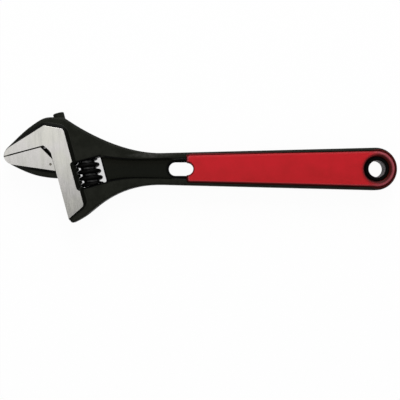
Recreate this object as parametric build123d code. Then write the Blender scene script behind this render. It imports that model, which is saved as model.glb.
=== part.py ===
from build123d import *
import math
import os

# Adjustable wrench, millimetres. It lies flat, and both sides are alike about the XY plane, apart from
# the worm and the test mark. The hang hole's axis is Z, the handle runs along X, and the head is at -X.

# Handle
end_radius = 13.75  # half width of the handle at the hang hole
end_shift = 0.5  # the rounded end's centre ahead of the hang hole
handle_taper = 1.45  # degrees that each edge closes in towards the neck
neck_reach = 138.0  # hang hole to the narrowest place
body_thickness = 12.4  # across the black forging
edge_round = 1.8  # forged edges
neck_upper_pull = 22.0  # how far the handle's straight edges draw on the curves to the head
neck_lower_pull = 20.0
hang_hole_radius = 5.25
hang_hole_chamfer = 0.9
hang_boss_wall = 2.5
hang_boss_chamfer = 0.4

# Recesses of the handle
web_thickness = 5.0  # steel left between the front and the rear recess
web_rim = 3.9  # rim beside the open recess
web_draft = 0.8  # lean of each recess wall
web_flare_reach = 150.0  # hang hole to where the recess begins to flare
web_flare_pull = 14.0  # how far its straight sides draw on the flare
web_corner_pull = 6.0  # the same at the worm's window
web_corner_drop = 2.4
web_corner_step = 0.2  # recess narrower than the window
grip_rim = 1.7  # rim round the grip pocket
grip_reach = 122.6  # hang hole to the start of the grip
grip_corner = 2.0
slot_in_grip = 4.7  # how far the see-through slot reaches into the grip
slot_length = 16.25
slot_width = 8.8
slot_chamfer = 0.4

# Grip inlays
grip_clearance = 0.1
grip_proud = 0.7  # stands above the rim
grip_round = 1.9
grip_slot_chamfer = 0.5  # beside the slot
grip_slot_lip = 0.3  # the inlay covers the slot's end by this much

# Head, placed at the middle of the worm
head_reach = 185.4  # hang hole to the worm, along the handle
head_drop = 2.6  # worm below the handle's axis
head_angle = 15.0
head_thickness = 15.6  # across the two ground faces
throat_reach = 20.0  # worm axis to the throat face
jaw_reach = 29.9  # throat face to the jaw tips
jaw_line = 24.2  # worm middle to the closed jaw faces
jaw_opening = 30.0  # travel of the movable jaw
jaw_chamfer = 0.4  # along the edges of the gripping faces
nose_lean = 0.7  # jaw tips reach further at mid thickness than at the faces
hook_reach = 28.4  # worm middle to the lower end of the head

# Outline of the head: runs from the tip or the throat, rises above the jaw line or the hook's end
nose_run = 5.65  # tip to the end of the round nose
nose_rise = 6.55
nose_bulge = 1.0
ridge_run = 13.55  # throat to the middle of the slanting top
ridge_rise = 12.4
brow_run = 4.8  # throat to where the top levels out
brow_rise = 16.0
crown_run = 2.1  # throat to the highest place
crown_rise = 17.45
slide_exit_run = 10.4  # throat to where the slide comes out
slide_exit_rise = 15.5
shoulder_run = 14.65  # throat to the start of the handle's upper edge
shoulder_rise = 13.25
shoulder_lean_run = 13.4
shoulder_lean_drop = 15.4
heel_run = 15.3  # throat to the start of the handle's lower edge
heel_rise = 4.15
heel_bulge = 0.45
heel_lean_run = 14.0
heel_lean_rise = 7.0
hook_round = 2.0
hook_bulge = 0.5
throat_corner_rise = 5.6  # rounded inner corner of the mouth
throat_corner_run = 3.3
throat_corner_bulge = 0.3

# Ground faces of the head, in the same way
face_edge = 8.5  # worm axis to the rear edge of the ground face
face_slope = 6.4  # run of the slope behind the ground face
face_nose_run = 6.9
face_nose_rise = 5.95
face_nose_bulge = 0.9
face_brow_run = 2.2
face_brow_rise = 12.4
face_crown_run = 1.0
face_crown_rise = 12.05
face_crown_bulge = 0.35
face_shoulder_run = 2.3
face_shoulder_rise = 8.2
face_shoulder_bulge = 0.75
face_rear_rise = 5.0
face_foot_rise = 10.8
face_foot_bulge = 0.6
face_heel_run = 1.7
face_heel_rise = 8.0
face_toe_rise = 3.2
bevel_inset = 0.3  # foot of the bevels, inside the outline
bevel_crown = 3.9  # half length of the bevel's level foot
bevel_crown_drop = 0.9
bevel_bulge = 0.5

# Movable jaw and its slide
jaw_root = 22.3  # height of the jaw at the throat
jaw_belly_run = 14.1  # throat side to the middle of the jaw's lower edge
jaw_belly_rise = 6.0
jaw_belly_bulge = 2.0
jaw_nose_run = 4.4  # tip to the start of its round nose
jaw_nose_drop = 7.5
jaw_face_root = 4.9  # ground face above the lower edge, at the throat
jaw_face_run = 4.2
jaw_face_drop = 6.35
jaw_face_bulge = 1.2
relief_run = 5.6  # corner cut off beside the throat
relief_drop = 9.7
jaw_gap = 0.1  # between the closed gripping faces
throat_gap = 0.2  # jaw to throat face
jaw_inset = 0.1  # jaw below the ground faces
test_mark_radius = 0.7  # hardness test mark on the jaw's face
test_mark_run = 2.0
test_mark_rise = 9.7
neck_thickness = 4.6
neck_clearance = 0.15
neck_drop = 1.0  # top of the neck below the gripping face
slide_radius = 3.6
slide_clearance = 0.1
slide_top = 42.9  # worm middle to the upper end of the slide
slide_tail = 10.0  # worm middle to its lower end
slide_chamfer = 0.5

# Worm, its window, pin and spring
worm_pitch = 4.3
worm_crest_radius = 7.5
worm_root_radius = 5.1
worm_crest_round = 1.1
worm_flank = 22.0  # degrees
worm_length = 16.4
worm_chamfer = 0.7
mesh_depth = 1.25  # how far the rack teeth reach into the thread
mesh_clearance = 0.2
window_play = 0.25  # each end of the worm
window_clearance = 1.85  # behind the worm
window_front = 0.45  # before the worm
window_corner = 0.5
frame_depth = 0.9  # slanting frame of the window, in the ground faces
frame_front = 2.3
frame_ends = 1.1
frame_corner = 2.0
window_edge = 0.5  # chamfer at the forged faces
pin_radius = 2.0
pin_clearance = 0.06
pin_seat = 5.0  # pin's length in the upper wall
pin_screw_radius = 2.6
pin_screw_length = 12.2
pin_slot_width = 0.8
pin_slot_depth = 1.2
spring_wire = 0.7
spring_pitch = 1.25
spring_turns = 4
spring_clearance = 0.3  # to the pin and to the worm
spring_end_gap = 0.05

# Worked out from the sizes above
body_half = body_thickness / 2
side_half = body_half - edge_round
head_half = head_thickness / 2
web_half = web_thickness / 2
taper = math.radians(handle_taper)
flank = math.radians(worm_flank)
hang_boss_radius = hang_hole_radius + hang_boss_wall
slot_reach = grip_reach - slot_in_grip + slot_length / 2
throat = -throat_reach
tip = throat - jaw_reach
slide_axis = -(worm_crest_radius - mesh_depth + slide_radius)
window_left = -worm_crest_radius - window_front
window_right = worm_crest_radius + window_clearance
window_half = worm_length / 2 + window_play
jaw_low = jaw_line - jaw_root
spring_radius = pin_radius + spring_clearance + spring_wire / 2
spring_height = spring_turns * spring_pitch + spring_wire
past = 60.0  # cuts run this far, past every face of the head

# The head's own frame: x towards the handle, y towards the fixed jaw
head = Plane(
    origin=(-head_reach, -head_drop, 0),
    x_dir=(math.cos(math.radians(head_angle)), math.sin(math.radians(head_angle)), 0),
    z_dir=(0, 0, 1),
)

# Where the head's outline meets the two edges of the handle, in the head's frame
shoulder = (throat + shoulder_run, jaw_line + shoulder_rise)
heel = (throat + heel_run, heel_rise - hook_reach)


def half_width(x, inset=0.0):
    """Half width of the handle at x, between edges that are moved inwards by the inset."""
    return (end_radius - inset) / math.cos(taper) + x * math.tan(taper)


def in_head(x, y):
    """Point of the head's frame, in the wrench's own frame."""
    return head.from_local_coords(Vector(x, y))


def along_head(x, y, bottom, top, radius):
    """Round bar or bore along the head's y direction, in the head's frame."""
    return Pos(x, (bottom + top) / 2, y) * Rot(90, 0, 0) * Cylinder(radius, top - bottom)


def chain(points):
    """Sides through (x, y, rise) points, where the side to the next point is an arc of that rise."""
    sides = []
    for here, there in zip(points, points[1:]):
        if here[2] == 0:
            sides.append(Line(here[:2], there[:2]))
        else:
            sides.append(SagittaArc(here[:2], there[:2], here[2]))
    return sides


def outline(points, z=0.0):
    """Closed face through (x, y, rise) points."""
    return Pos(0, 0, z) * make_face(chain(points + points[:1]))


def bevelled_block(face_points, side_points, face_half):
    """Solid with flat ground faces, and sides that slope out to upright walls."""
    layers = [
        outline(face_points, -face_half),
        outline(side_points, -side_half),
        outline(side_points, side_half),
        outline(face_points, face_half),
    ]
    return loft(layers, ruled=True)


def rounded_slab(outer, inner):
    """Forging as thick as the handle, with round edges along its outer sides and sharp ones inside."""
    slab = extrude(make_face(outer + inner), body_half, both=True)
    rims = []
    for edge in slab.faces().filter_by(Axis.Z).edges():
        middle = edge @ 0.5
        middle = Vector(middle.X, middle.Y)
        if min((middle - side @ 0.5).length for side in outer) < 0.01:
            rims.append(edge)
    return fillet(rims, edge_round)


def jaw_edges(block, face_half, level):
    """Straight edges of a gripping face, where it meets the two ground faces."""
    found = []
    for edge in block.edges().filter_by(GeomType.LINE):
        middle = edge @ 0.5
        on_face = abs(abs(middle.Z) - face_half) < 0.001
        if on_face and abs(middle.Y - level) < 0.001:
            found.append(edge)
    return found


# Sides of the head, in its frame: over the fixed jaw, round the hook, and along the mouth
mouth_back = throat + bevel_inset
mouth_top = jaw_line + bevel_inset
jaw_top = Spline(
    (tip - nose_lean, mouth_top),
    (tip + nose_run, jaw_line + nose_rise),
    (throat - ridge_run, jaw_line + ridge_rise),
    (throat - brow_run, jaw_line + brow_rise),
    (throat + crown_run, jaw_line + crown_rise),
    (throat + slide_exit_run, jaw_line + slide_exit_rise),
    shoulder,
    tangents=[(nose_lean, nose_lean * 4), (shoulder_lean_run, -shoulder_lean_drop)],
)
hook = [
    (*heel, heel_bulge),
    (throat + hook_round, -hook_reach, hook_bulge),
    (mouth_back, hook_round - hook_reach, 0),
]
behind_mouth = [
    (mouth_back, hook_round - hook_reach, 0),
    (mouth_back, mouth_top, 0),
    (tip - nose_lean, mouth_top, 0),
]
mouth = [
    (throat, hook_round - hook_reach, 0),
    (throat, jaw_line - throat_corner_rise, -throat_corner_bulge),
    (throat - throat_corner_run, jaw_line, 0),
]


def fixed_jaw_block():
    """Fixed jaw and the band that guides the movable jaw, with the two ground faces, in the head's frame."""
    face_points = [
        (tip, jaw_line, face_nose_bulge),
        (tip + face_nose_run, jaw_line + face_nose_rise, 0),
        (throat - face_brow_run, jaw_line + face_brow_rise, face_crown_bulge),
        (throat + face_crown_run, jaw_line + face_crown_rise, 0),
        (-face_edge - face_shoulder_run, jaw_line + face_shoulder_rise, face_shoulder_bulge),
        (-face_edge, jaw_line + face_rear_rise, 0),
        (-face_edge, face_foot_rise - hook_reach, face_foot_bulge),
        (-face_edge - face_heel_run, face_heel_rise - hook_reach, 0),
        (throat, face_toe_rise - hook_reach, 0),
    ]
    crown = throat + crown_run
    crown_foot = jaw_line + crown_rise - bevel_crown_drop
    slope_end = face_slope - face_edge
    side_points = [
        (tip - nose_lean + bevel_inset / 2, jaw_line, nose_bulge),
        (tip + nose_run + bevel_inset, jaw_line + nose_rise - bevel_inset, bevel_bulge),
        (crown - bevel_crown, crown_foot, bevel_bulge),
        (crown + bevel_crown, crown_foot, bevel_inset),
        (shoulder[0] - 2 * bevel_inset, shoulder[1] - 2 * bevel_inset, 0),
        (slope_end, jaw_line + face_rear_rise, 0),
        (slope_end, face_foot_rise - hook_reach, 0),
        (-face_edge, heel[1] + 3 * bevel_inset, 0),
        mouth[0],
    ]
    block = bevelled_block(face_points + mouth[1:], side_points + mouth[1:], head_half)
    return chamfer(jaw_edges(block, head_half, jaw_line), jaw_chamfer)


def forging():
    """Black forging of the whole body, from the jaw's tip to the rounded end, with rounded edges."""
    neck_half = half_width(-neck_reach)
    slope = math.tan(taper)
    round_radius = end_radius - end_shift * math.sin(taper)
    tangent_x = -end_shift - round_radius * math.sin(taper)
    tangent_y = round_radius * math.cos(taper)
    end_x = round_radius - end_shift
    upper = Bezier(
        in_head(*shoulder),
        in_head(shoulder[0] + shoulder_lean_run, shoulder[1] - shoulder_lean_drop),
        (-neck_reach - neck_upper_pull, neck_half - neck_upper_pull * slope),
        (-neck_reach, neck_half),
    )
    lower = Bezier(
        (-neck_reach, -neck_half),
        (-neck_reach - neck_lower_pull, -neck_half + neck_lower_pull * slope),
        in_head(heel[0] + heel_lean_run, heel[1] + heel_lean_rise),
        in_head(*heel),
    )
    handle = [
        upper,
        Line(upper @ 1, (tangent_x, tangent_y)),
        ThreePointArc((tangent_x, tangent_y), (end_x, 0), (tangent_x, -tangent_y)),
        Line((tangent_x, -tangent_y), lower @ 0),
        lower,
    ]
    outer = [head * jaw_top] + handle + [head * side for side in chain(hook)]
    inner = [head * side for side in chain(behind_mouth)]
    return rounded_slab(outer, inner)


def web_face(inset, z):
    """Outline of the open recess between the worm's window and the grip."""
    slope = math.tan(taper)
    start_x = -grip_reach + grip_corner
    start_half = half_width(start_x, inset)
    flare_half = half_width(-web_flare_reach, inset)
    pull_x = -web_flare_reach - web_flare_pull
    pull_half = flare_half - web_flare_pull * slope
    corner = window_half - web_corner_step - (inset - web_rim)
    in_window = window_right - window_clearance
    top_corner = in_head(window_right, corner)
    low_corner = in_head(window_right, -corner)
    edges = [
        Line((start_x, start_half), (-web_flare_reach, flare_half)),
        Bezier(
            (-web_flare_reach, flare_half),
            (pull_x, pull_half),
            in_head(window_right + web_corner_pull, corner - web_corner_drop),
            top_corner,
        ),
        Line(top_corner, in_head(in_window, corner)),
        Line(in_head(in_window, corner), in_head(in_window, -corner)),
        Line(in_head(in_window, -corner), low_corner),
        Bezier(
            low_corner,
            in_head(window_right + web_corner_pull, -corner),
            (pull_x, -pull_half),
            (-web_flare_reach, -flare_half),
        ),
        Line((-web_flare_reach, -flare_half), (start_x, -start_half)),
        Line((start_x, -start_half), (start_x, start_half)),
    ]
    return Pos(0, 0, z) * make_face(edges)


def grip_face(inset):
    """Outline of the grip pocket, or of the inlay that fills it."""
    left = -grip_reach + inset - grip_rim
    radius = end_radius - inset
    tangent_x = -radius * math.sin(taper)
    tangent_y = radius * math.cos(taper)
    left_half = half_width(left, inset)
    edges = [
        Line((left, -left_half), (left, left_half)),
        Line((left, left_half), (tangent_x, tangent_y)),
        ThreePointArc((tangent_x, tangent_y), (radius, 0), (tangent_x, -tangent_y)),
        Line((tangent_x, -tangent_y), (left, -left_half)),
    ]
    face = make_face(edges)
    return fillet(face.vertices().group_by(Axis.X)[0], grip_corner)


def window_face(growth):
    """Outline of the worm's window, grown on every side, in the head's frame."""
    width = window_right - window_left + 2 * growth
    height = 2 * (window_half + growth)
    return Pos((window_left + window_right) / 2, 0) * RectangleRounded(width, height, window_corner + growth)


def frame_face():
    """Outline of the window's slanting frame, where it meets a ground face."""
    left = window_left - frame_front
    height = 2 * (window_half + frame_ends)
    return Pos((left + window_right) / 2, 0) * RectangleRounded(window_right - left, height, frame_corner)


def widening(small, large, level, depth):
    """Chamfer cutter: grows from the small face below the level to the large face at it."""
    return loft([Pos(0, 0, level - depth) * small, Pos(0, 0, level) * large], ruled=True)


def make_body():
    """Fixed jaw, head and handle in one forging, with every bore, window and recess."""
    body = forging() + head * fixed_jaw_block()

    recess = loft([web_face(web_rim + web_draft, web_half), web_face(web_rim, body_half)], ruled=True)
    pocket = Pos(0, 0, web_half) * extrude(grip_face(grip_rim), body_half)
    body -= recess
    body -= mirror(recess, about=Plane.XY)
    body -= pocket
    body -= mirror(pocket, about=Plane.XY)
    body -= Pos(-slot_reach, 0, 0) * extrude(SlotOverall(slot_length, slot_width), body_half, both=True)
    slot_mouth = Pos(-slot_reach, 0, 0) * widening(
        SlotOverall(slot_length, slot_width),
        SlotOverall(slot_length + 2 * slot_chamfer, slot_width + 2 * slot_chamfer),
        web_half,
        slot_chamfer,
    )
    body -= slot_mouth
    body -= mirror(slot_mouth, about=Plane.XY)

    boss = chamfer(Cylinder(hang_boss_radius, body_thickness).edges(), hang_boss_chamfer)
    hole = Cylinder(hang_hole_radius, body_thickness)
    mouth = Cone(hang_hole_radius, hang_hole_radius + hang_hole_chamfer, hang_hole_chamfer)
    mouth = Pos(0, 0, body_half - hang_hole_chamfer / 2) * mouth
    body = body + boss - hole - mouth - mirror(mouth, about=Plane.XY)

    window = extrude(window_face(0), past, both=True)
    face_mouth = widening(window_face(0), frame_face(), head_half, frame_depth)
    back_mouth = widening(window_face(0), window_face(window_edge), body_half, window_edge)
    back_mouth &= Pos(window_right, 0, 0) * Box(2 * (window_right + face_edge / 2), past, past)
    bore = along_head(slide_axis, 0, -past, past, slide_radius + slide_clearance)
    slit_top = jaw_line - jaw_gap - neck_drop + neck_clearance
    slit_left = throat - throat_corner_run - throat_gap
    slit = Pos((slit_left + slide_axis) / 2, (slit_top - past) / 2, 0) * Box(
        slide_axis - slit_left, slit_top + past, neck_thickness + 2 * neck_clearance
    )
    pin_hole = along_head(0, 0, 0, window_half + pin_seat + pin_clearance, pin_radius + pin_clearance)
    screw_hole = along_head(0, 0, -past, 0, pin_screw_radius + pin_clearance)
    mouths = [face_mouth, mirror(face_mouth, about=Plane.XY), back_mouth, mirror(back_mouth, about=Plane.XY)]
    for cut in [window, bore, slit, pin_hole, screw_hole] + mouths:
        body -= head * cut
    return body


def thread_face(base_radius):
    """Section of the worm's thread in its XZ plane: straight flanks and a round crest."""
    centre = worm_crest_radius - worm_crest_round
    shoulder = centre + worm_crest_round * math.sin(flank)
    shoulder_half = worm_crest_round * math.cos(flank)
    base_half = shoulder_half + (shoulder - base_radius) * math.tan(flank)
    edges = [
        Line((base_radius, -base_half), (shoulder, -shoulder_half)),
        ThreePointArc((shoulder, -shoulder_half), (worm_crest_radius, 0), (shoulder, shoulder_half)),
        Line((shoulder, shoulder_half), (base_radius, base_half)),
        Line((base_radius, base_half), (base_radius, -base_half)),
    ]
    return Plane.XZ * make_face(edges)


def rack_groove():
    """Cutter for one space between two rack teeth: the thread's flanks with a clearance."""
    shoulder = worm_crest_radius - worm_crest_round * (1 - math.sin(flank))
    shoulder_half = worm_crest_round * math.cos(flank) + mesh_clearance
    floor = worm_crest_radius + mesh_clearance
    mouth = worm_crest_radius - 2 * mesh_depth
    floor_half = shoulder_half - (floor - shoulder) * math.tan(flank)
    mouth_half = shoulder_half + (shoulder - mouth) * math.tan(flank)
    points = [(-floor, -floor_half), (-floor, floor_half), (-mouth, mouth_half), (-mouth, -mouth_half)]
    lead = math.degrees(math.atan2(worm_pitch, math.tau * (worm_crest_radius - mesh_depth / 2)))
    bar = extrude(make_face(Polyline(*points, close=True)), 2 * slide_radius, both=True)
    return Rot(lead, 0, 0) * bar


def make_movable_jaw():
    """Jaw block, its thin neck, and the round slide with the rack teeth, in the head's frame."""
    level = jaw_line - jaw_gap
    back = throat - throat_gap
    face_half = head_half - jaw_inset
    relief = level - relief_drop
    corner = (back - relief_run, level, 0)
    side = (back, relief, 0)
    face_points = [
        (tip, level, 0),
        corner,
        side,
        (back, jaw_low + jaw_face_root, 0),
        (tip + jaw_face_run, level - jaw_face_drop, jaw_face_bulge),
    ]
    side_points = [
        (tip - nose_lean + bevel_inset / 2, level, 0),
        corner,
        side,
        (back, jaw_low + bevel_inset, jaw_belly_bulge),
        (tip + jaw_nose_run + bevel_inset, level - jaw_nose_drop + bevel_inset, nose_bulge),
    ]
    block = bevelled_block(face_points, side_points, face_half)
    block = chamfer(jaw_edges(block, face_half, level), jaw_chamfer)
    nose = (tip - nose_lean, level, 0)
    root = (back, jaw_low, 0)
    jaw_bottom = Spline(
        root[:2],
        (back - jaw_belly_run, jaw_low + jaw_belly_rise),
        (tip + jaw_nose_run, level - jaw_nose_drop),
        nose[:2],
        tangents=[(-jaw_belly_run, jaw_belly_rise - jaw_belly_bulge), (-nose_lean, nose_lean * 4)],
    )
    block += rounded_slab([jaw_bottom], chain([nose, corner, side, root]))
    mark = Pos(back - test_mark_run, jaw_low + test_mark_rise, face_half) * Sphere(test_mark_radius)
    neck_top = level - neck_drop
    in_block = back - throat_gap
    neck_points = [
        (in_block, jaw_low),
        (in_block, relief),
        (in_block - relief_run * (1 - neck_drop / relief_drop), neck_top),
        (slide_axis, neck_top),
        (slide_axis, jaw_low),
    ]
    neck = extrude(make_face(Polyline(*neck_points, close=True)), neck_thickness / 2, both=True)
    slide = Cylinder(slide_radius, slide_top + slide_tail)
    slide = chamfer(slide.edges(), slide_chamfer)
    slide = Pos(slide_axis, (slide_top - slide_tail) / 2, 0) * Rot(90, 0, 0) * slide
    jaw = block - mark + neck + slide
    groove = rack_groove()
    lowest = -math.ceil((slide_tail + worm_pitch) / worm_pitch)
    highest = math.floor((jaw_opening + worm_length / 2 + worm_crest_round) / worm_pitch + 0.5)
    for tooth in range(lowest, highest + 1):
        jaw -= Pos(0, (tooth - 0.5) * worm_pitch, 0) * groove
    return head * jaw


def upright_in_head(shape, y):
    """Puts a shape that is made about Z on the worm's axis, with its Z along the head's y."""
    return head * (Pos(0, y, 0) * Rot(-90, 0, 0) * shape)


def make_worm():
    """Adjusting worm with a left-hand thread, a bore for the pin and a counterbore for the spring."""
    turns = 2 * math.ceil((worm_length / worm_pitch + 2) / 2)
    height = turns * worm_pitch
    base_radius = worm_root_radius - worm_chamfer
    helix = Helix(worm_pitch, height, worm_crest_radius - worm_crest_round, lefthand=True)
    thread = Pos(0, 0, -height / 2) * sweep(thread_face(base_radius), helix, is_frenet=True)
    stock = chamfer(Cylinder(worm_crest_radius + worm_chamfer, worm_length).edges(), 2 * worm_chamfer)
    worm = (Cylinder(worm_root_radius, height) + thread) & stock
    worm -= Cylinder(pin_radius + pin_clearance, height)
    depth = spring_height - window_play + 2 * spring_end_gap
    pocket = Cylinder(spring_radius + spring_wire / 2 + spring_clearance, depth)
    worm -= Pos(0, 0, (depth - worm_length) / 2) * pocket
    return upright_in_head(worm, 0)


def make_pin():
    """Axle of the worm, with a screwed end and a screwdriver slot."""
    top = window_half + pin_seat
    low = -window_half - window_play - pin_screw_length
    shank = Cylinder(pin_radius, top - low - pin_slot_depth)
    shank = Pos(0, 0, (top + low + pin_slot_depth) / 2) * chamfer(shank.edges(), pin_radius / 5)
    screw = Cylinder(pin_screw_radius, pin_screw_length)
    screw = Pos(0, 0, low + pin_screw_length / 2) * chamfer(screw.edges(), pin_radius / 5)
    slot = Pos(0, 0, low) * Box(3 * pin_screw_radius, pin_slot_width, 2 * pin_slot_depth)
    return upright_in_head(shank + screw - slot, 0)


def quarter_turns(radius, pitch, turns):
    """Points of a right-hand helix about Z from z = 0, with their headings, a quarter turn apart."""
    places = []
    for step in range(4 * turns + 1):
        angle = step * math.pi / 2
        point = Vector(radius * math.cos(angle), radius * math.sin(angle), pitch * angle / math.tau)
        heading = Vector(-radius * math.sin(angle), radius * math.cos(angle), pitch / math.tau)
        places.append((point, heading.normalized()))
    return places


def biarcs(places):
    """Smooth wire of two arcs between each two places."""
    arcs = []
    for (start, out), (end, into) in zip(places, places[1:]):
        chord = end - start
        along = chord.dot(out + into)
        swing = 2 * (1 - out.dot(into))
        reach = (math.sqrt(along * along + swing * chord.dot(chord)) - along) / swing
        first = start + out * reach
        second = end - into * reach
        joint = (first + second) * 0.5
        arcs.append(TangentArc(start, joint, tangent=out))
        arcs.append(TangentArc(joint, end, tangent=second - first))
    return Wire(arcs)


def least_coil_gap(path, turns):
    """Least free space between one turn of the wire and the next, measured on points."""
    per_turn = 48
    count = per_turn * turns
    points = [path @ (step / count) for step in range(count + 1)]
    gaps = []
    for index, point in enumerate(points):
        for other in points[index + per_turn // 2:]:
            gaps.append((other - point).length - spring_wire)
    return min(gaps)


def make_spring():
    """Coil spring between the worm and the lower wall of its window."""
    places = quarter_turns(spring_radius, spring_pitch, spring_turns)
    path = biarcs(places)
    start, heading = places[0]
    section = Plane(origin=start, z_dir=heading) * Circle(spring_wire / 2)
    spring = sweep(section, path)
    print("spring: least gap between turns", round(least_coil_gap(path, spring_turns), 3), "mm")
    return upright_in_head(spring, -window_half + spring_end_gap + spring_wire / 2)


def make_front_inlay():
    """Moulded inlay that fills the front pocket of the handle."""
    height = body_half + grip_proud - web_half
    inlay = extrude(grip_face(grip_rim + grip_clearance), height)
    inlay -= Cylinder(hang_boss_radius + grip_clearance, 4 * height)
    inlay = fillet(inlay.faces().sort_by(Axis.Z)[-1].edges(), grip_round)
    lip = 2 * grip_slot_lip
    wider = 2 * grip_slot_chamfer - lip
    slot = SlotOverall(slot_length - lip, slot_width - lip)
    slot_mouth = SlotOverall(slot_length + wider, slot_width + wider)
    inlay -= Pos(-slot_reach, 0, 0) * extrude(slot, height)
    inlay -= Pos(-slot_reach, 0, 0) * widening(slot, slot_mouth, height, grip_slot_chamfer)
    return Pos(0, 0, web_half) * inlay


front_inlay = make_front_inlay()
nodes = {
    "body": make_body(),
    "movable_jaw": make_movable_jaw(),
    "worm": make_worm(),
    "worm_pin": make_pin(),
    "worm_spring": make_spring(),
    "front_grip_inlay": front_inlay,
    "rear_grip_inlay": mirror(front_inlay, about=Plane.XY),
}
os.makedirs("parts", exist_ok=True)
for name, shape in nodes.items():
    export_step(shape, "parts/" + name + ".step")
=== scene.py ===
import math
from collections import namedtuple

import bpy
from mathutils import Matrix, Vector


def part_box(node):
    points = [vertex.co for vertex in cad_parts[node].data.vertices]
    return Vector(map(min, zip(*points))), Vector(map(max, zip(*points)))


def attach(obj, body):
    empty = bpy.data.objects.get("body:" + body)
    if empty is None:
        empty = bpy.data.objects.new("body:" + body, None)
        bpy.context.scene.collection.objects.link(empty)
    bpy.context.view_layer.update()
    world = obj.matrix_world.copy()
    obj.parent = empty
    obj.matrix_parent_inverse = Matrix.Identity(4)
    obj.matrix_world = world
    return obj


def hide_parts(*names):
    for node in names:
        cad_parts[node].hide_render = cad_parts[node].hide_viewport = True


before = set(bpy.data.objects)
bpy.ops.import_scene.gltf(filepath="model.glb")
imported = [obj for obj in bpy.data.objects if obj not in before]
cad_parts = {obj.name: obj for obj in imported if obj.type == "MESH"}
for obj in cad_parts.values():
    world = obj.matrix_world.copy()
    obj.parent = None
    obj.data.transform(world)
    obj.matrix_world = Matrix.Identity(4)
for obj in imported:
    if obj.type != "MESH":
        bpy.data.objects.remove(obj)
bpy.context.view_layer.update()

millimetre = 0.001

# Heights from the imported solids, and the worm's middle, about which the head is turned
head_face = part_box("body")[1].z
jaw_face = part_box("movable_jaw")[1].z
grip_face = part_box("front_grip_inlay")[1].z
bench_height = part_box("body")[0].z
head_place = (-0.1854, -0.0026, 0.0)
head_turn = math.radians(15)

# Colours, in linear light
black_oxide = (0.0088, 0.0096, 0.0068, 1)
black_oxide_rubbed = (0.0130, 0.0140, 0.0104, 1)
edge_grey = (0.055, 0.055, 0.051, 1)
# Painted shade on the head's slope up to the ground faces, and a painted highlight along its foot
slope_shade = (0.0024, 0.0027, 0.0016, 1)
slope_foot_highlight = (0.0150, 0.0160, 0.0125, 1)
# The recess floor, painted darker for shade, and lighter on its upper half
recess_floor_shade = (0.0064, 0.0072, 0.0048, 1)
recess_upper = (0.0108, 0.0112, 0.0072, 1)
# Painted shade, laid in creases, on recess walls and lines along its edges, beside the slot, on the
# hang hole's ring, under the brow and round the worm's window
crease_shade = (0.0006, 0.0006, 0.0005, 1)
# A painted highlight on the hang hole's bore
bore_highlight = (0.095, 0.083, 0.091, 1)
ground_yellow = (0.61, 0.602, 0.553, 1)
ground_rose = (0.62, 0.602, 0.585, 1)
ground_dull = (0.45, 0.445, 0.420, 1)
# Smudged steel, also laid on as painted shade on the hook
ground_smudged_and_shaded = (0.36, 0.357, 0.337, 1)
mark_brown = (0.22, 0.205, 0.165, 1)
worm_black = (0.0015, 0.0015, 0.0014, 1)
pin_steel = (0.09, 0.09, 0.09, 1)
spring_wire = (0.32, 0.32, 0.31, 1)
grip_red = (0.508, 0.0123, 0.0188, 1)
# Deeper red, for random tone and for painted shade
grip_red_deep_and_shade = (0.423, 0.0118, 0.0150, 1)
# Painted highlight on the grip's rounded edges
grip_red_highlight = (0.31, 0.062, 0.076, 1)
# Painted dark red shade on the rims beside the grip
grip_red_edge_shade = (0.16, 0.010, 0.012, 1)
# Painted shade in the grip's creases, beside the slot and round the handle's end
grip_red_crease_shade = (0.070, 0.0035, 0.0030, 1)
# Painted shade on the grip's rounded end beside the ring
grip_red_end_shade = (0.050, 0.0040, 0.0030, 1)
ring_shade = (0.0040, 0.0004, 0.0004, 1)
bench_white = (0.9, 0.9, 0.9, 1)
white = (1, 1, 1, 1)

# Heights above the wrench's middle plane where its finish changes, in millimetres
rim_height = 6.2
edge_height = 5.0
edge_band = 0.7
web_height = 2.5

# Places on the handle, in millimetres from the hang hole
hole_radius = 5.25
ring_radius = 7.75
ring_shade_middle = (0.45, -0.3)
pocket_half_width = 12.05
handle_taper = 0.0253
# Where painted dark red shade of the grip's rounded edge lies on the rims, and how fast it narrows
red_rim_start = -122.4
red_rim_end = -36.0
red_rim_slope = 0.011
# A lighter grey patch on the neck's rim
rim_grey_patch = (-146.0, 8.7)
rim_grey_patch_half = (14.0, 1.5)
slot_middle = -126.0
slot_half_length = 8.1
slot_half_width = 4.4

# The open recess: its edges flare towards the head and spread towards the grip; its lower wall and
# a line beside each edge are painted shade
RecessEdge = namedtuple("RecessEdge", "side half_width flare spread line wall")
recess_half_width = 9.0
recess_start = -180.0
recess_end = -122.5
flare_start = -152.0
spread_start = -149.0
recess_edges = (
    RecessEdge(1, 6.1, flare=0.0034, spread=0.026, line=0.85, wall=black_oxide_rubbed),
    RecessEdge(-1, 5.85, flare=0.0056, spread=0.014, line=0.6, wall=crease_shade),
)

# Places on the head, in millimetres along and across it from the worm's middle
body_nose = -46.2
jaw_nose = -48.2
nose_slant = 0.72
nose_raggedness = 1.6
brow_line = ((-43.0, 30.15), (-0.296, 0.955))
crown_line = ((-19.0, 36.25), (0.425, 0.905))
test_mark = (-22.2, 11.6)
frame_corner = (-8.2, -8.3)
window_half_width = 8.45
window_end = 9.35
worm_root_radius = 5.3
worm_crest_radius = 6.4

# Camera, straight above the flat side
camera_height = 0.600
view_width = 0.260
camera_place = (-0.11388, -0.02005)
sensor = 36.0

# Bench and lamps
bench_size = 100.0
bench_glow = 0.96
window_shade = 0.32
sky_strength = 0.40
horizon_strength = 0.56
Lamp = namedtuple("Lamp", "name place target width depth power")
lamps = (
    Lamp("key_softbox", (-0.30, 0.145, 0.62), (-0.30, 0.145, 0.0), 0.38, 0.28, 0.275),
    Lamp("upper_softbox", (-0.05, 1.10, 0.80), (-0.11, 0.0, 0.0), 0.9, 0.9, 14.0),
    Lamp("lower_softbox", (-0.30, -0.70, 1.30), (-0.11, 0.0, 0.0), 0.7, 0.7, 3.0),
)


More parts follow.
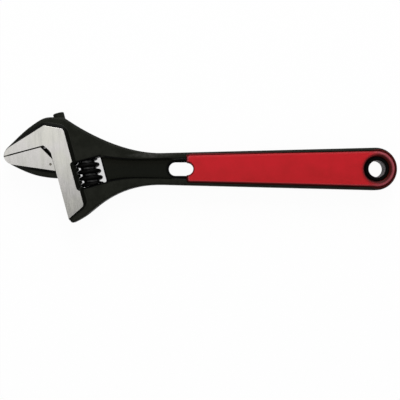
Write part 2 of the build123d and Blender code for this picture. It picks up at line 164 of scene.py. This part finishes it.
class Signal:
    """A socket of a node tree. Python's operators on it add Math nodes."""

    def __init__(self, finish, socket):
        self.finish = finish
        self.socket = socket

    def __add__(self, other):
        return self.finish.math("ADD", self, other)

    def __sub__(self, other):
        return self.finish.math("SUBTRACT", self, other)

    def __rsub__(self, other):
        return self.finish.math("SUBTRACT", other, self)

    def __mul__(self, other):
        return self.finish.math("MULTIPLY", self, other)

    def __truediv__(self, other):
        return self.finish.math("DIVIDE", self, other)

    def __pow__(self, other):
        return self.finish.math("POWER", self, other)

    def __abs__(self):
        return self.finish.math("ABSOLUTE", self)

    __radd__ = __add__
    __rmul__ = __mul__


class Finish:
    """A material, or another node tree, and the nodes that it is made of."""

    def __init__(self, name, tree=None):
        if tree is None:
            self.material = bpy.data.materials.new(name)
            self.material.use_nodes = True
            tree = self.material.node_tree
        self.tree = tree
        self.tree.nodes.clear()

    def node(self, kind, settings=None, inputs=None, output=0):
        """Any node: its settings are set first, then the values or links of its sockets."""
        made = self.tree.nodes.new(kind)
        for name, value in (settings or {}).items():
            setattr(made, name, value)
        for name, value in (inputs or {}).items():
            if isinstance(value, Signal):
                self.tree.links.new(value.socket, made.inputs[name])
            else:
                made.inputs[name].default_value = value
        return Signal(self, made.outputs[output]) if made.outputs else None

    def math(self, operation, *values):
        return self.node("ShaderNodeMath", {"operation": operation}, dict(enumerate(values)))

    def larger(self, first, second):
        return self.math("MAXIMUM", first, second)

    def distance(self, first, second):
        """Length of two distances at right angles."""
        return (first ** 2 + second ** 2) ** 0.5

    def mapped(self, origin=(0, 0, 0), turn=0.0, scale=(1, 1, 1)):
        """Object coordinates from an origin, turned about Z, in millimetres divided by a scale."""
        inputs = {
            "Vector": self.node("ShaderNodeTexCoord", output="Object"),
            "Location": origin,
            "Rotation": (0, 0, turn),
            "Scale": [millimetre * factor for factor in scale],
        }
        return self.node("ShaderNodeMapping", {"vector_type": "TEXTURE"}, inputs)

    def separate(self, vector, axis):
        return self.node("ShaderNodeSeparateXYZ", None, {"Vector": vector}, output=axis)

    def axes(self, origin=(0, 0, 0), turn=0.0):
        """Three distances in millimetres from an origin, along axes that are turned about Z."""
        local = self.mapped(origin, turn)
        return [self.separate(local, axis) for axis in "XYZ"]

    def noise(self, size, stretch=(1, 1, 1), turn=0.0, detail=3.0, roughness=0.55):
        """Noise from 0 to 1, with features of that size in millimetres, turned by degrees."""
        inputs = {
            "Vector": self.mapped(turn=math.radians(turn), scale=[size * part for part in stretch]),
            "Scale": 1.0,
            "Detail": detail,
            "Roughness": roughness,
        }
        return self.node("ShaderNodeTexNoise", {"noise_dimensions": "3D"}, inputs)

    def from_slot(self, x, y):
        """Distance outside the see-through slot, in millimetres."""
        past_middle = abs(x - slot_middle) - (slot_half_length - slot_half_width)
        return self.distance(self.larger(past_middle, 0.0), y) - slot_half_width

    def step(self, value, low, high):
        """0 at low, 1 at high, smooth between them. Low may be the larger of the two."""
        inputs = {"Value": value, "From Min": low, "From Max": high}
        return self.node("ShaderNodeMapRange", {"interpolation_type": "SMOOTHSTEP"}, inputs)

    def blend(self, share, first, second):
        """Colour between two colours."""
        inputs = {0: share, 6: first, 7: second}
        return self.node("ShaderNodeMix", {"data_type": "RGBA"}, inputs, output=2)

    def bump(self, height, strength, distance):
        """Normal from a height, whose full range is that distance in millimetres."""
        inputs = {"Height": height, "Strength": strength, "Distance": distance * millimetre}
        return self.node("ShaderNodeBump", None, inputs)

    def surface(self, **sockets):
        """Principled shader, with underscores for the spaces of its socket names."""
        inputs = {name.replace("_", " "): value for name, value in sockets.items()}
        self.output(self.node("ShaderNodeBsdfPrincipled", None, inputs))
        return self.material

    def output(self, shader):
        self.node("ShaderNodeOutputMaterial", None, {"Surface": shader})


class Forging(Finish):
    """Black oxide on a forging, and bright steel where it is ground."""

    def __init__(self, name, face_height, nose_end):
        super().__init__(name)
        self.face = face_height / millimetre
        self.nose_end = nose_end
        self.x, self.y, self.z = self.axes()
        self.height = abs(self.z)
        self.along, self.across, self.up = self.axes(head_place, head_turn)
        self.scuffs = self.noise(3.0, detail=5, roughness=0.65)
        self.mottle = self.noise(7.0, detail=5, roughness=0.65)
        self.streaks = self.noise(0.25, stretch=(1, 40, 1), turn=3, detail=3)
        self.bands = self.noise(2.6, stretch=(1, 9, 1), turn=3, detail=3)

    def from_head_place(self, place):
        return self.distance(self.along - place[0], self.across - place[1])

    def past_head_line(self, place, normal):
        """Distance past a line on the head, given by a place on it and its outward normal."""
        return (self.along - place[0]) * normal[0] + (self.across - place[1]) * normal[1]

    def ground_parts(self):
        """Shares of ground steel: on the two outermost faces, round the nose, in the test mark."""
        flat = self.step(self.height, self.face - 0.06, self.face - 0.02)
        flat = flat * self.step(self.past_head_line(*brow_line), -0.36, -0.56)
        flat = flat * self.step(self.from_head_place(frame_corner), 1.4, 1.6)
        reach = self.along + nose_slant * (self.face - self.height)
        reach = reach + nose_raggedness * (self.scuffs - 0.5)
        nose = self.step(reach, self.nose_end + 0.9, self.nose_end - 0.5)
        mark = self.step(self.from_head_place(test_mark), 1.0, 0.6)
        mark = mark * self.step(self.up, self.face - 1.0, self.face - 0.9)
        return flat, nose, mark

    def oxide(self):
        """Mottled black, rubbed at the edges, with painted shade on the slope up to the ground
        faces, a painted highlight along the slope's foot, and painted shade under the brow.
        """
        height = self.height
        black = self.blend(self.step(self.mottle, 0.36, 0.66), black_oxide, black_oxide_rubbed)
        rubbed = self.step(abs(height - edge_height), edge_band, 0.0)
        black = self.blend(rubbed * self.step(self.scuffs, 0.42, 0.70), black, edge_grey)
        # A painted highlight along the foot of the slope, and painted shade on the slope above it
        foot = self.step(height, rim_height + 0.01, rim_height + 0.04)
        slope = self.step(height, rim_height + 0.20, rim_height + 0.32)
        black = self.blend(slope, self.blend(foot, black, slope_foot_highlight), slope_shade)
        # Painted shade under the brow and crown lines
        past = self.larger(self.past_head_line(*brow_line), self.past_head_line(*crown_line))
        under_brow = self.step(past, -0.6, -0.4) * self.step(past, 2.4, 0.6)
        under_brow = under_brow * self.step(self.along, -9, -11)
        under_brow = under_brow * self.step(height, rim_height - 0.6, rim_height)
        return self.blend(under_brow, black, crease_shade)

    def with_recess(self, black):
        """Adds the recess between the head and the grip with painted shade: dark walls, a darker
        floor that is lighter on its upper half, dark beside the slot, and dark lines along its open
        edges.
        """
        x, y, height = self.x, self.y, self.height
        inside = self.step(abs(y), recess_half_width, recess_half_width - 0.3)
        inside = inside * self.step(x, recess_start, recess_start + 3)
        # Painted shade on the walls, on the floor and beside the slot
        walls = inside * self.step(height, rim_height - 0.05, rim_height - 1.0)
        black = self.blend(walls, black, crease_shade)
        floor = inside * self.step(height, web_height + 0.5, web_height + 0.05)
        floor_black = self.blend(self.step(y, 0, 5), recess_floor_shade, recess_upper)
        black = self.blend(floor, black, floor_black)
        beside_slot = floor * self.step(self.from_slot(x, y), 2.6, 0.8)
        black = self.blend(beside_slot, black, crease_shade)

        # Painted shade along the open edges: on the lower wall, and in a dark line on the rim
        # beside each edge
        flare = self.larger(flare_start - x, 0.0) ** 2
        spread = self.larger(x - spread_start, 0.0)
        open_part = self.step(x, recess_start + 2, recess_start + 5)
        open_part = open_part * self.step(x, recess_end, recess_end - 0.3)
        open_wall = open_part * self.step(height, web_height + 0.3, web_height + 0.8)
        open_rim = open_part * self.step(height, rim_height - 0.8, rim_height - 0.6)
        for edge in recess_edges:
            outward = edge.side * y
            past = outward - (edge.half_width + edge.flare * flare + edge.spread * spread)
            wall = open_wall * self.step(past, 0.3, 0.0) * self.step(outward, 3, 4)
            black = self.blend(wall, black, edge.wall)
            line = open_rim * self.step(abs(past), edge.line, edge.line - 0.5)
            black = self.blend(line, black, crease_shade)
        return black

    def with_hang_hole(self, black):
        """Adds painted shade on the ring at the hang hole, and a painted highlight on its bore."""
        from_hole = self.distance(self.x, self.y)
        ring = self.step(from_hole, ring_radius + 0.6, ring_radius)
        black = self.blend(ring, black, crease_shade)
        bore = self.step(from_hole, hole_radius + 0.5, hole_radius + 0.2)
        return self.blend(bore, black, bore_highlight)

    def with_rims(self, black):
        """Adds a lighter grey patch on the neck's rim, painted dark red shade of the grip's rounded
        edge over the grip's rims, and painted dark red shade round the handle's end.
        """
        x, y = self.x, self.y
        # A lighter grey patch on the neck's rim, broken by scuffs
        rub = ((x - rim_grey_patch[0]) / rim_grey_patch_half[0]) ** 2 + ((y - rim_grey_patch[1]) / rim_grey_patch_half[1]) ** 2
        rubbed = 0.8 * self.step(rub, 1.6, 0.1)
        rubbed = rubbed * self.step(self.scuffs, 0.25, 0.75) * self.step(self.z, 5, 6)
        black = self.blend(rubbed, black, edge_grey)

        # Painted shade of the grip's rounded edge, in dark red, on the rims beside the grip
        above_pocket = y - (pocket_half_width + x * handle_taper)
        lap = (red_rim_end - x) * red_rim_slope * self.step(x, red_rim_start - 0.5, red_rim_start + 3)
        red_rim_share = self.step(above_pocket, lap, lap - 0.5) * self.step(y, 3, 5)
        red_rim_share = red_rim_share * self.step(x, red_rim_start - 0.4, red_rim_start)
        red_rim_share = red_rim_share * self.step(x, red_rim_end, red_rim_end - 5)
        black = self.blend(red_rim_share, black, grip_red_edge_shade)

        # Painted dark red shade round the handle's end
        from_hole = self.distance(x, y)
        round_end = self.step(from_hole, 11.6, 11.9) * self.step(from_hole, 12.9, 12.4)
        round_end = round_end * self.step(x, -7, 4) * self.step(self.height, 5.0, 5.4)
        return self.blend(round_end, black, grip_red_crease_shade)

    def with_window(self, black):
        """Adds painted shade as a dark border round the worm's window, except on its frame."""
        outside = self.larger(abs(self.across) - window_half_width, self.along - window_end)
        # Painted shade round the window
        border = self.step(outside, 1.5, 0.6) * self.step(self.along, -7.5, -6)
        return self.blend(border, black, crease_shade)

    def steel(self, flat, nose, mark):
        """Ground steel with tints, grinding streaks and smudges, the smudges heavier towards the
        bottom, duller on the nose, and with painted shade on the hook.
        """
        tint = self.noise(16.0, detail=2)
        steel = self.blend(self.step(tint, 0.40, 0.60), ground_yellow, ground_rose)
        worn = self.step(0.6 * self.bands + 0.4 * self.streaks, 0.20, 0.62)
        steel = self.blend(worn, ground_dull, steel)
        smudges = self.noise(4.0, stretch=(1, 1.8, 1), turn=12, detail=6, roughness=0.7)
        # Smudges grow heavier towards the bottom; the hook gets painted shade
        lower = self.step(self.across, 10, -6)
        hook_shade = self.step(self.across, -14, -32)
        smudged_and_shaded = self.step(smudges, 0.46, 0.72) * (0.13 + 0.22 * lower) + 0.35 * hook_shade
        steel = self.blend(smudged_and_shaded + 0.6 * nose * (1 - flat), steel, ground_smudged_and_shaded)
        return self.blend(mark, steel, mark_brown)

    def dress(self):
        """The finished material."""
        flat, nose, mark = self.ground_parts()
        ground = self.larger(self.larger(flat, nose), mark)
        black = self.oxide()
        for addition in (self.with_recess, self.with_hang_hole, self.with_rims, self.with_window):
            black = addition(black)
        black_roughness = 0.46 + 0.20 * (self.mottle - 0.5)
        steel_roughness = 0.22 + 0.12 * (self.streaks - 0.5) + 0.06 * (self.bands - 0.5)
        grain = self.noise(0.45, detail=2)
        relief = ground * self.streaks * 0.25 + (1 - ground) * grain
        return self.surface(
            Base_Color=self.blend(ground, black, self.steel(flat, nose, mark)),
            Metallic=ground,
            Roughness=ground * steel_roughness + (1 - ground) * black_roughness,
            Specular_IOR_Level=0.05,
            Normal=self.bump(relief, 0.5, 0.03),
        )


def worm_finish():
    """Black oxide on the worm, glossy in the thread's valleys and rubbed dull on its crests."""
    finish = Finish("worm_gloss_black")
    across, along, up = finish.axes(head_place, head_turn)
    crest = finish.step(finish.distance(across, up), worm_root_radius, worm_crest_radius)
    rub = finish.noise(2.0, detail=3)
    return finish.surface(
        Base_Color=worm_black,
        Roughness=0.45 + 0.15 * rub,
        Specular_IOR_Level=0.05,
        Coat_Weight=(1 - crest) * (0.75 + 0.5 * rub),
        Coat_Roughness=0.22,
        Normal=finish.bump(finish.noise(0.6, detail=2), 0.1, 0.01),
    )


def plain_steel(name, colour, roughness):
    """Turned or drawn steel, seen only in gaps."""
    finish = Finish(name)
    drawn = finish.noise(0.3, stretch=(1, 1, 8), detail=2)
    return finish.surface(
        Base_Color=colour,
        Metallic=1.0,
        Roughness=roughness + 0.1 * (drawn - 0.5),
        Normal=finish.bump(drawn, 0.2, 0.02),
    )


def grip_finish():
    """Red satin moulding with random tone, painted shade on its lower side, a painted highlight
    where its edge begins to round, and painted shade in its creases.
    """
    finish = Finish("grip_moulded_red")
    cloud = finish.noise(9.0, detail=5, roughness=0.65)
    texture = finish.noise(0.35, detail=1)
    x, y, z = finish.axes()
    upper = finish.step(y, -9, 9)
    start = finish.step(x, -119.5, -121.5)
    fore = finish.step(x, -30, -95)
    tail = finish.step(x, -45, -15)
    end = finish.step(x, -7, 4)
    # Random tone from the cloud, and painted shade: darker on the lower side
    red = finish.blend(2.4 * cloud - 0.95 + 0.7 * upper, grip_red_deep_and_shade, grip_red)

    # The edge, by its drop below the face. The larger the spread, the narrower the crease. Painted
    # highlight where it begins to round, painted shade in the crease
    spread = 1 + (2.5 + 3.5 * fore - 1.2 * tail) * upper + 0.5 * tail
    drop = (grip_face / millimetre - abs(z)) / spread
    rounding = finish.step(drop, 0.002, 0.02)
    # Painted shade where the upper edge begins to round
    red = finish.blend(rounding * upper, red, grip_red_deep_and_shade)
    # pale is the share of painted highlight where the edge begins to round, more at the grip's
    # start
    pale = 0.28 - 0.12 * upper + 0.12 * tail + 0.5 * start
    red = finish.blend(rounding * pale, red, grip_red_highlight)
    # Painted shade in the crease, and beside the slot
    red = finish.blend(finish.step(drop, 0.05, 0.25), red, grip_red_crease_shade)
    beside_slot = finish.step(finish.from_slot(x, y), 0.9, 0.3)
    red = finish.blend(0.75 * beside_slot, red, grip_red_crease_shade)

    # The rounded end: painted shade beside the ring, a painted highlight round the end and painted
    # shade at its crease
    radius = finish.distance(x, y)
    end_red = finish.blend(finish.step(radius, 9.1, 10.6), grip_red_end_shade, grip_red_highlight)
    end_red = finish.blend(finish.step(radius, 10.7, 11.6), end_red, grip_red_crease_shade)
    red = finish.blend(end, red, end_red)
    from_ring = finish.distance(x - ring_shade_middle[0], y - ring_shade_middle[1]) - ring_radius
    beside_ring = finish.step(from_ring, 3.75, 0.05) * (1 - end)
    beside_ring = beside_ring + finish.step(radius, 8.2, 7.6) * end
    red = finish.blend(beside_ring, red, ring_shade)
    return finish.surface(
        Base_Color=red,
        Roughness=0.44 + 0.10 * (cloud - 0.5) + 0.3 * rounding * upper + 0.35 * beside_ring,
        Specular_IOR_Level=0.10,
        Normal=finish.bump(texture, 0.25, 0.02),
    )


def dressed(node, name, body, material, smooth_angle=28):
    """Copy of a CAD node with merged faces and smooth shading, which stands for the node."""
    piece = bpy.data.objects.new(name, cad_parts[node].data.copy())
    bpy.context.scene.collection.objects.link(piece)
    bpy.ops.object.select_all(action="DESELECT")
    piece.select_set(True)
    bpy.context.view_layer.objects.active = piece
    bpy.ops.object.mode_set(mode="EDIT")
    bpy.ops.mesh.select_all(action="SELECT")
    bpy.ops.mesh.remove_doubles(threshold=0.002 * millimetre)
    bpy.ops.object.mode_set(mode="OBJECT")
    bpy.ops.mesh.customdata_custom_splitnormals_clear()
    bpy.ops.object.shade_smooth_by_angle(angle=math.radians(smooth_angle))
    weigh = piece.modifiers.new("flat_faces", "WEIGHTED_NORMAL")
    weigh.keep_sharp = True
    bpy.ops.object.modifier_apply(modifier=weigh.name)
    coat(piece, material)
    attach(piece, body)
    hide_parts(node)


def coat(piece, material):
    """Makes a material the only one of a piece."""
    piece.data.materials.clear()
    piece.data.materials.append(material)


def build_wrench():
    grip = grip_finish()
    body_finish = Forging("body_forged_black", head_face, body_nose).dress()
    jaw_finish = Forging("jaw_forged_black", jaw_face, jaw_nose).dress()
    dressed("body", "wrench_forging", "wrench_body", body_finish, smooth_angle=17)
    dressed("movable_jaw", "sliding_jaw", "jaw", jaw_finish)
    dressed("worm", "thumb_worm", "adjusting_worm", worm_finish(), smooth_angle=40)
    dressed("front_grip_inlay", "front_grip", "wrench_body", grip)
    dressed("rear_grip_inlay", "rear_grip", "wrench_body", grip)
    coat(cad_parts["worm_pin"], plain_steel("pin_dark_steel", pin_steel, 0.4))
    coat(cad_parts["worm_spring"], plain_steel("spring_bright_wire", spring_wire, 0.3))


def build_bench():
    """White bench that the wrench lies on. It is a little darker below the worm's window."""
    bpy.ops.mesh.primitive_plane_add(size=bench_size, location=(*camera_place, bench_height))
    plane = bpy.context.object
    plane.name = "bench"
    finish = Finish("bench_white")
    seen = 0.0
    for ray in ("Camera", "Glossy", "Transmission"):
        path = finish.node("ShaderNodeLightPath", output=f"Is {ray} Ray")
        seen = finish.larger(seen, path)
    below_window = (head_place[0] - camera_place[0], head_place[1] - camera_place[1], 0)
    x, y = finish.axes(below_window)[:2]
    shade = finish.step(finish.distance(x, y), 18, 12)
    matt = finish.node("ShaderNodeBsdfDiffuse", None, {"Color": bench_white})
    glow = finish.node("ShaderNodeEmission", None, {"Color": white, "Strength": 1.0})
    share = seen * (bench_glow - window_shade * shade)
    finish.output(finish.node("ShaderNodeMixShader", None, {0: share, 1: matt, 2: glow}))
    plane.data.materials.append(finish.material)


def add_lamp(lamp):
    """Soft lamp that points at its target."""
    light = bpy.data.lights.new(lamp.name, "AREA")
    light.shape = "RECTANGLE"
    light.size = lamp.width
    light.size_y = lamp.depth
    light.energy = lamp.power
    holder = bpy.data.objects.new(lamp.name, light)
    bpy.context.scene.collection.objects.link(holder)
    holder.location = lamp.place
    aim = Vector(lamp.target) - Vector(lamp.place)
    holder.rotation_euler = aim.to_track_quat("-Z", "Y").to_euler()


def build_light():
    """Grey studio with a white horizon, and the lamps."""
    world = bpy.data.worlds.new("studio")
    bpy.context.scene.world = world
    world.use_nodes = True
    sky = Finish("studio", world.node_tree)
    rise = sky.separate(sky.node("ShaderNodeTexCoord", output="Generated"), "Z")
    strength = sky_strength + horizon_strength * sky.step(rise, 0.04, 0.02)
    glow = sky.node("ShaderNodeBackground", None, {"Color": white, "Strength": strength})
    sky.node("ShaderNodeOutputWorld", None, {"Surface": glow})
    for lamp in lamps:
        add_lamp(lamp)


def build_camera():
    camera = bpy.data.cameras.new("camera")
    camera.sensor_width = sensor
    camera.lens = sensor * camera_height / view_width
    holder = bpy.data.objects.new("camera", camera)
    bpy.context.scene.collection.objects.link(holder)
    holder.location = (*camera_place, camera_height)
    bpy.context.scene.camera = holder


build_wrench()
build_bench()
build_light()
build_camera()
bpy.context.scene.view_settings.view_transform = "Standard"
